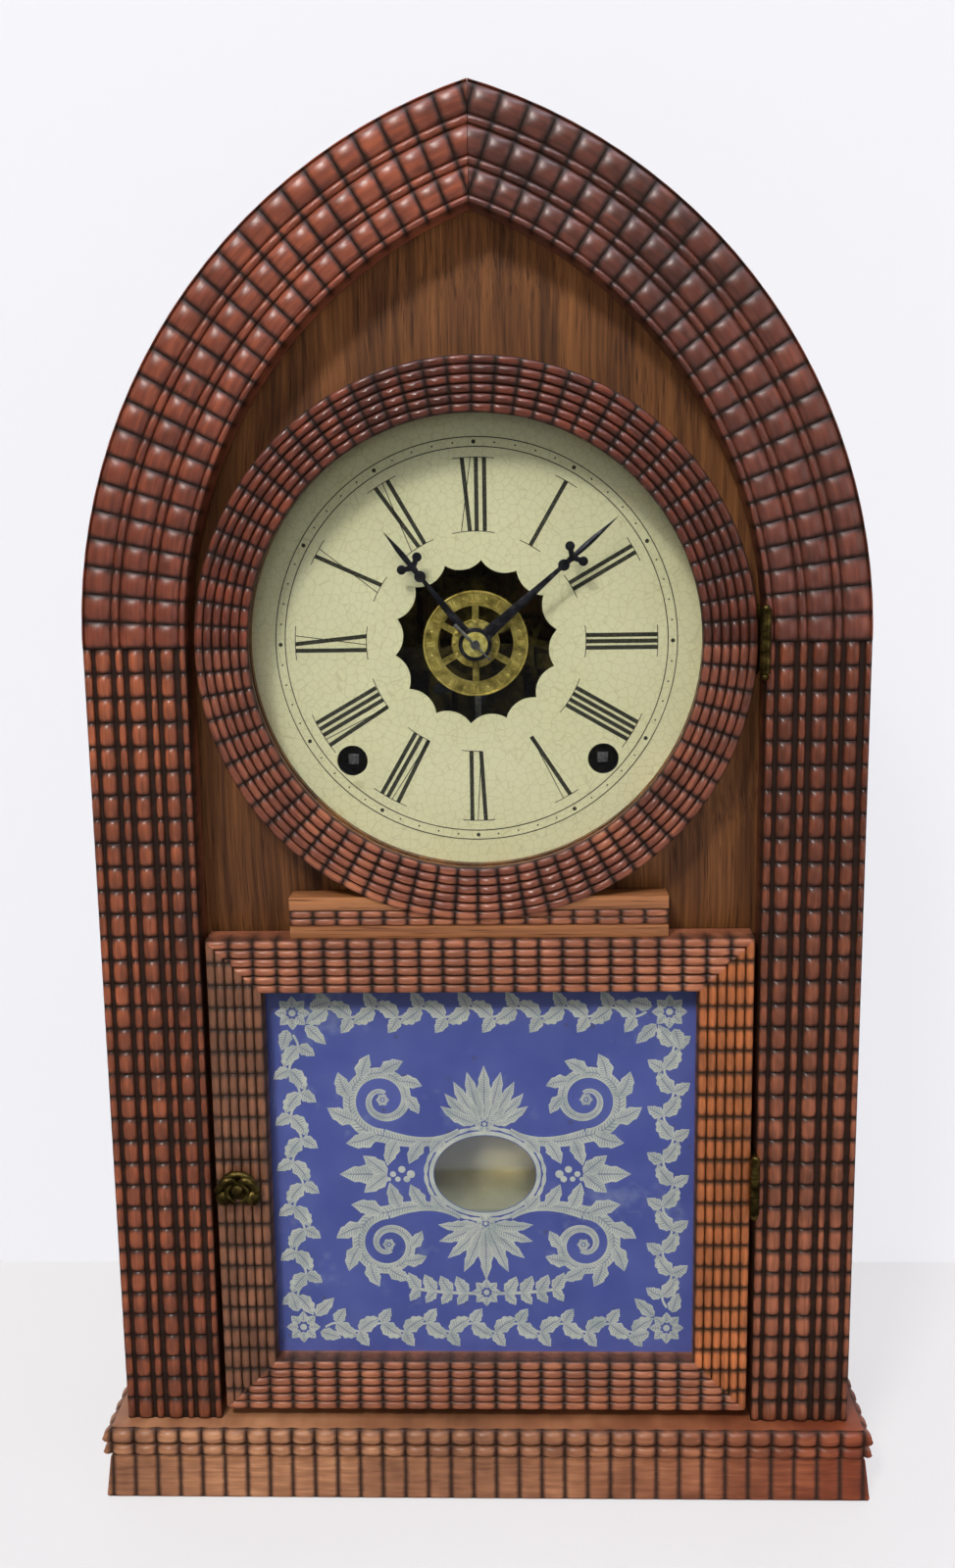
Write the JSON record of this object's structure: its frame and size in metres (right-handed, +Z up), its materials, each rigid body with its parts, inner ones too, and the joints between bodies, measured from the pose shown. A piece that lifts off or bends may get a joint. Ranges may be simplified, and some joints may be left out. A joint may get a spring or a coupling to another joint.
{
  "type": "shelf clock",
  "caption": "Pointed arch shelf clock with rippled mouldings, a glazed one-piece door, painted dial, striking spring movement, pendulum and alarm disc.",
  "frame": {"origin": "on the underside of the base, on the middle line, straight under the front plane of the columns", "axes": "+Z up, the dial faces -Y, +X to the right seen from the front"},
  "size_m": [0.2766, 0.1051, 0.4833],
  "materials": {
    "base_front": "glossy varnish",
    "base_sides": "glossy varnish",
    "base_board": "plain pine",
    "case_shell_left": "glossy varnish",
    "case_shell_right": "glossy varnish",
    "case_front": "glossy varnish",
    "back_board": "plain pine",
    "column_left": "glossy varnish",
    "column_right": "glossy varnish",
    "arch_left": "glossy varnish",
    "arch_right": "glossy varnish",
    "dial_panel": "varnished veneer",
    "dial": "satin paint on sheet metal",
    "hinge_leaves_case": "aged",
    "front_plate": "tarnished",
    "back_plate": "tarnished",
    "pillars": "satin",
    "mainspring_time": "satin",
    "mainspring_strike": "satin",
    "suspension_post": "satin",
    "gong_base": "black",
    "gong": "satin",
    "door_stile_left": "glossy varnish",
    "door_stile_right": "glossy varnish",
    "door_rail_top": "glossy varnish",
    "door_rail_bottom": "glossy varnish",
    "door_bridge": "glossy varnish",
    "door_ring": "glossy varnish",
    "bezel_upper_right": "glossy varnish",
    "bezel_upper_left": "glossy varnish",
    "bezel_lower_left": "glossy varnish",
    "bezel_lower_right": "glossy varnish",
    "bezel_glass": "clear",
    "tablet_glass": "reverse painted, oval left clear",
    "hinge_leaves_door": "aged",
    "door_catch": "aged",
    "minute_hand": "blued steel",
    "hand_collet": "tarnished",
    "centre_arbor": "satin",
    "hour_hand": "blued steel",
    "hour_pipe": "tarnished",
    "alarm_disc": "tarnished",
    "minute_wheel": "tarnished",
    "centre_wheel": "tarnished",
    "great_wheel_time": "tarnished",
    "second_wheel_time": "tarnished",
    "third_wheel_time": "tarnished",
    "escape_wheel": "tarnished",
    "great_wheel_strike": "tarnished",
    "second_wheel_strike": "tarnished",
    "third_wheel_strike": "tarnished",
    "fly": "tarnished",
    "hammer": "satin",
    "verge": "satin",
    "pendulum_rod": "satin",
    "pendulum_bob": "tarnished"
  },
  "bodies": {
    "case": {"base_front": "base_front", "base_sides": "base_sides", "base_board": "base_board", "case_shell_left": "case_shell_left", "case_shell_right": "case_shell_right", "case_front": "case_front", "back_board": "back_board", "column_left": "column_left", "column_right": "column_right", "arch_left": "arch_left", "arch_right": "arch_right", "dial_panel": "dial_panel", "dial": "dial", "hinge_leaves_case": "hinge_leaves_case", "front_plate": "front_plate", "back_plate": "back_plate", "pillars": "pillars", "mainspring_time": "mainspring_time", "mainspring_strike": "mainspring_strike", "suspension_post": "suspension_post", "gong_base": "gong_base", "gong": "gong"},
    "door": {"door_stile_left": "door_stile_left", "door_stile_right": "door_stile_right", "door_rail_top": "door_rail_top", "door_rail_bottom": "door_rail_bottom", "door_bridge": "door_bridge", "door_ring": "door_ring", "bezel_upper_right": "bezel_upper_right", "bezel_upper_left": "bezel_upper_left", "bezel_lower_left": "bezel_lower_left", "bezel_lower_right": "bezel_lower_right", "bezel_glass": "bezel_glass", "tablet_glass": "tablet_glass", "hinge_leaves_door": "hinge_leaves_door"},
    "catch": {"door_catch": "door_catch"},
    "minute": {"minute_hand": "minute_hand", "hand_collet": "hand_collet", "centre_arbor": "centre_arbor"},
    "hour": {"hour_hand": "hour_hand", "hour_pipe": "hour_pipe"},
    "alarm": {"alarm_disc": "alarm_disc"},
    "minute_wheel_body": {"minute_wheel": "minute_wheel"},
    "centre_wheel_body": {"centre_wheel": "centre_wheel"},
    "time_great": {"great_wheel_time": "great_wheel_time"},
    "time_second": {"second_wheel_time": "second_wheel_time"},
    "time_third": {"third_wheel_time": "third_wheel_time"},
    "time_escape": {"escape_wheel": "escape_wheel"},
    "strike_great": {"great_wheel_strike": "great_wheel_strike"},
    "strike_second": {"second_wheel_strike": "second_wheel_strike"},
    "strike_third": {"third_wheel_strike": "third_wheel_strike"},
    "fly_body": {"fly": "fly"},
    "hammer_body": {"hammer": "hammer"},
    "verge_body": {"verge": "verge"},
    "pendulum": {"pendulum_rod": "pendulum_rod", "pendulum_bob": "pendulum_bob"}
  },
  "joints": [
    {"name": "door_hinge", "type": "hinge", "parent": "case", "child": "door", "pos_m": [0.095, -0.0022, 0.2], "axis": [0, 0, 1], "range_deg": [0, 120]},
    {"name": "catch_turn", "type": "hinge", "parent": "door", "child": "catch", "pos_m": [-0.0855, 0.005, 0.1185], "axis": [0, 1, 0], "range_deg": [-90, 45]},
    {"name": "minute_spin", "type": "hinge", "parent": "case", "child": "minute", "pos_m": [0, 0.03, 0.3075], "axis": [0, 1, 0], "continuous": true},
    {"name": "hour_spin", "type": "hinge", "parent": "case", "child": "hour", "pos_m": [0, 0.025, 0.3075], "axis": [0, 1, 0], "continuous": true},
    {"name": "alarm_set", "type": "hinge", "parent": "hour", "child": "alarm", "pos_m": [0, 0.015, 0.3075], "axis": [0, 1, 0], "continuous": true},
    {"name": "minute_wheel_spin", "type": "hinge", "parent": "case", "child": "minute_wheel_body", "pos_m": [0, 0.041, 0.3273], "axis": [0, 1, 0], "continuous": true},
    {"name": "time_third_spin", "type": "hinge", "parent": "case", "child": "time_third", "pos_m": [0.01541, 0.06, 0.29759], "axis": [0, 1, 0], "continuous": true},
    {"name": "time_second_spin", "type": "hinge", "parent": "case", "child": "time_second", "pos_m": [0.03691, 0.06, 0.30086], "axis": [0, 1, 0], "continuous": true},
    {"name": "time_great_spin", "type": "hinge", "parent": "case", "child": "time_great", "pos_m": [0.0435, 0.06, 0.267], "axis": [0, 1, 0], "continuous": true},
    {"name": "escape_spin", "type": "hinge", "parent": "case", "child": "time_escape", "pos_m": [0.012, 0.06, 0.279], "axis": [0, 1, 0], "continuous": true},
    {"name": "centre_wheel_spin", "type": "hinge", "parent": "case", "child": "centre_wheel_body", "pos_m": [0, 0.044, 0.3075], "axis": [0, 1, 0], "continuous": true},
    {"name": "strike_third_spin", "type": "hinge", "parent": "case", "child": "strike_third", "pos_m": [-0.02702, 0.06, 0.32024], "axis": [0, 1, 0], "continuous": true},
    {"name": "strike_second_spin", "type": "hinge", "parent": "case", "child": "strike_second", "pos_m": [-0.03691, 0.06, 0.30086], "axis": [0, 1, 0], "continuous": true},
    {"name": "strike_great_spin", "type": "hinge", "parent": "case", "child": "strike_great", "pos_m": [-0.0435, 0.06, 0.267], "axis": [0, 1, 0], "continuous": true},
    {"name": "fly_spin", "type": "hinge", "parent": "case", "child": "fly_body", "pos_m": [-0.0085, 0.06, 0.324], "axis": [0, 1, 0], "continuous": true},
    {"name": "hammer_swing", "type": "hinge", "parent": "case", "child": "hammer_body", "pos_m": [-0.02, 0.07, 0.24], "axis": [0, 1, 0], "range_deg": [0, 14]},
    {"name": "pendulum_swing", "type": "hinge", "parent": "case", "child": "pendulum", "pos_m": [0, 0.036, 0.29], "axis": [0, 1, 0], "range_deg": [-3, 3]},
    {"name": "verge_swing", "type": "hinge", "parent": "case", "child": "verge_body", "pos_m": [0, 0.04, 0.284], "axis": [0, 1, 0], "range_deg": [-4, 4]}
  ],
  "couplings": [
    {"joint": "hour_spin", "follows": "minute_spin", "ratio": 0.083333},
    {"joint": "minute_wheel_spin", "follows": "minute_spin", "ratio": -0.33333},
    {"joint": "time_second_spin", "follows": "time_third_spin", "ratio": -0.0875},
    {"joint": "time_great_spin", "follows": "time_third_spin", "ratio": 0.0083333},
    {"joint": "escape_spin", "follows": "time_third_spin", "ratio": -14},
    {"joint": "centre_wheel_spin", "follows": "time_third_spin", "ratio": 0.1},
    {"joint": "strike_second_spin", "follows": "strike_third_spin", "ratio": -0.0875},
    {"joint": "strike_great_spin", "follows": "strike_third_spin", "ratio": 0.0083333},
    {"joint": "fly_spin", "follows": "strike_third_spin", "ratio": -14},
    {"joint": "verge_swing", "follows": "pendulum_swing", "ratio": 1.268}
  ]
}
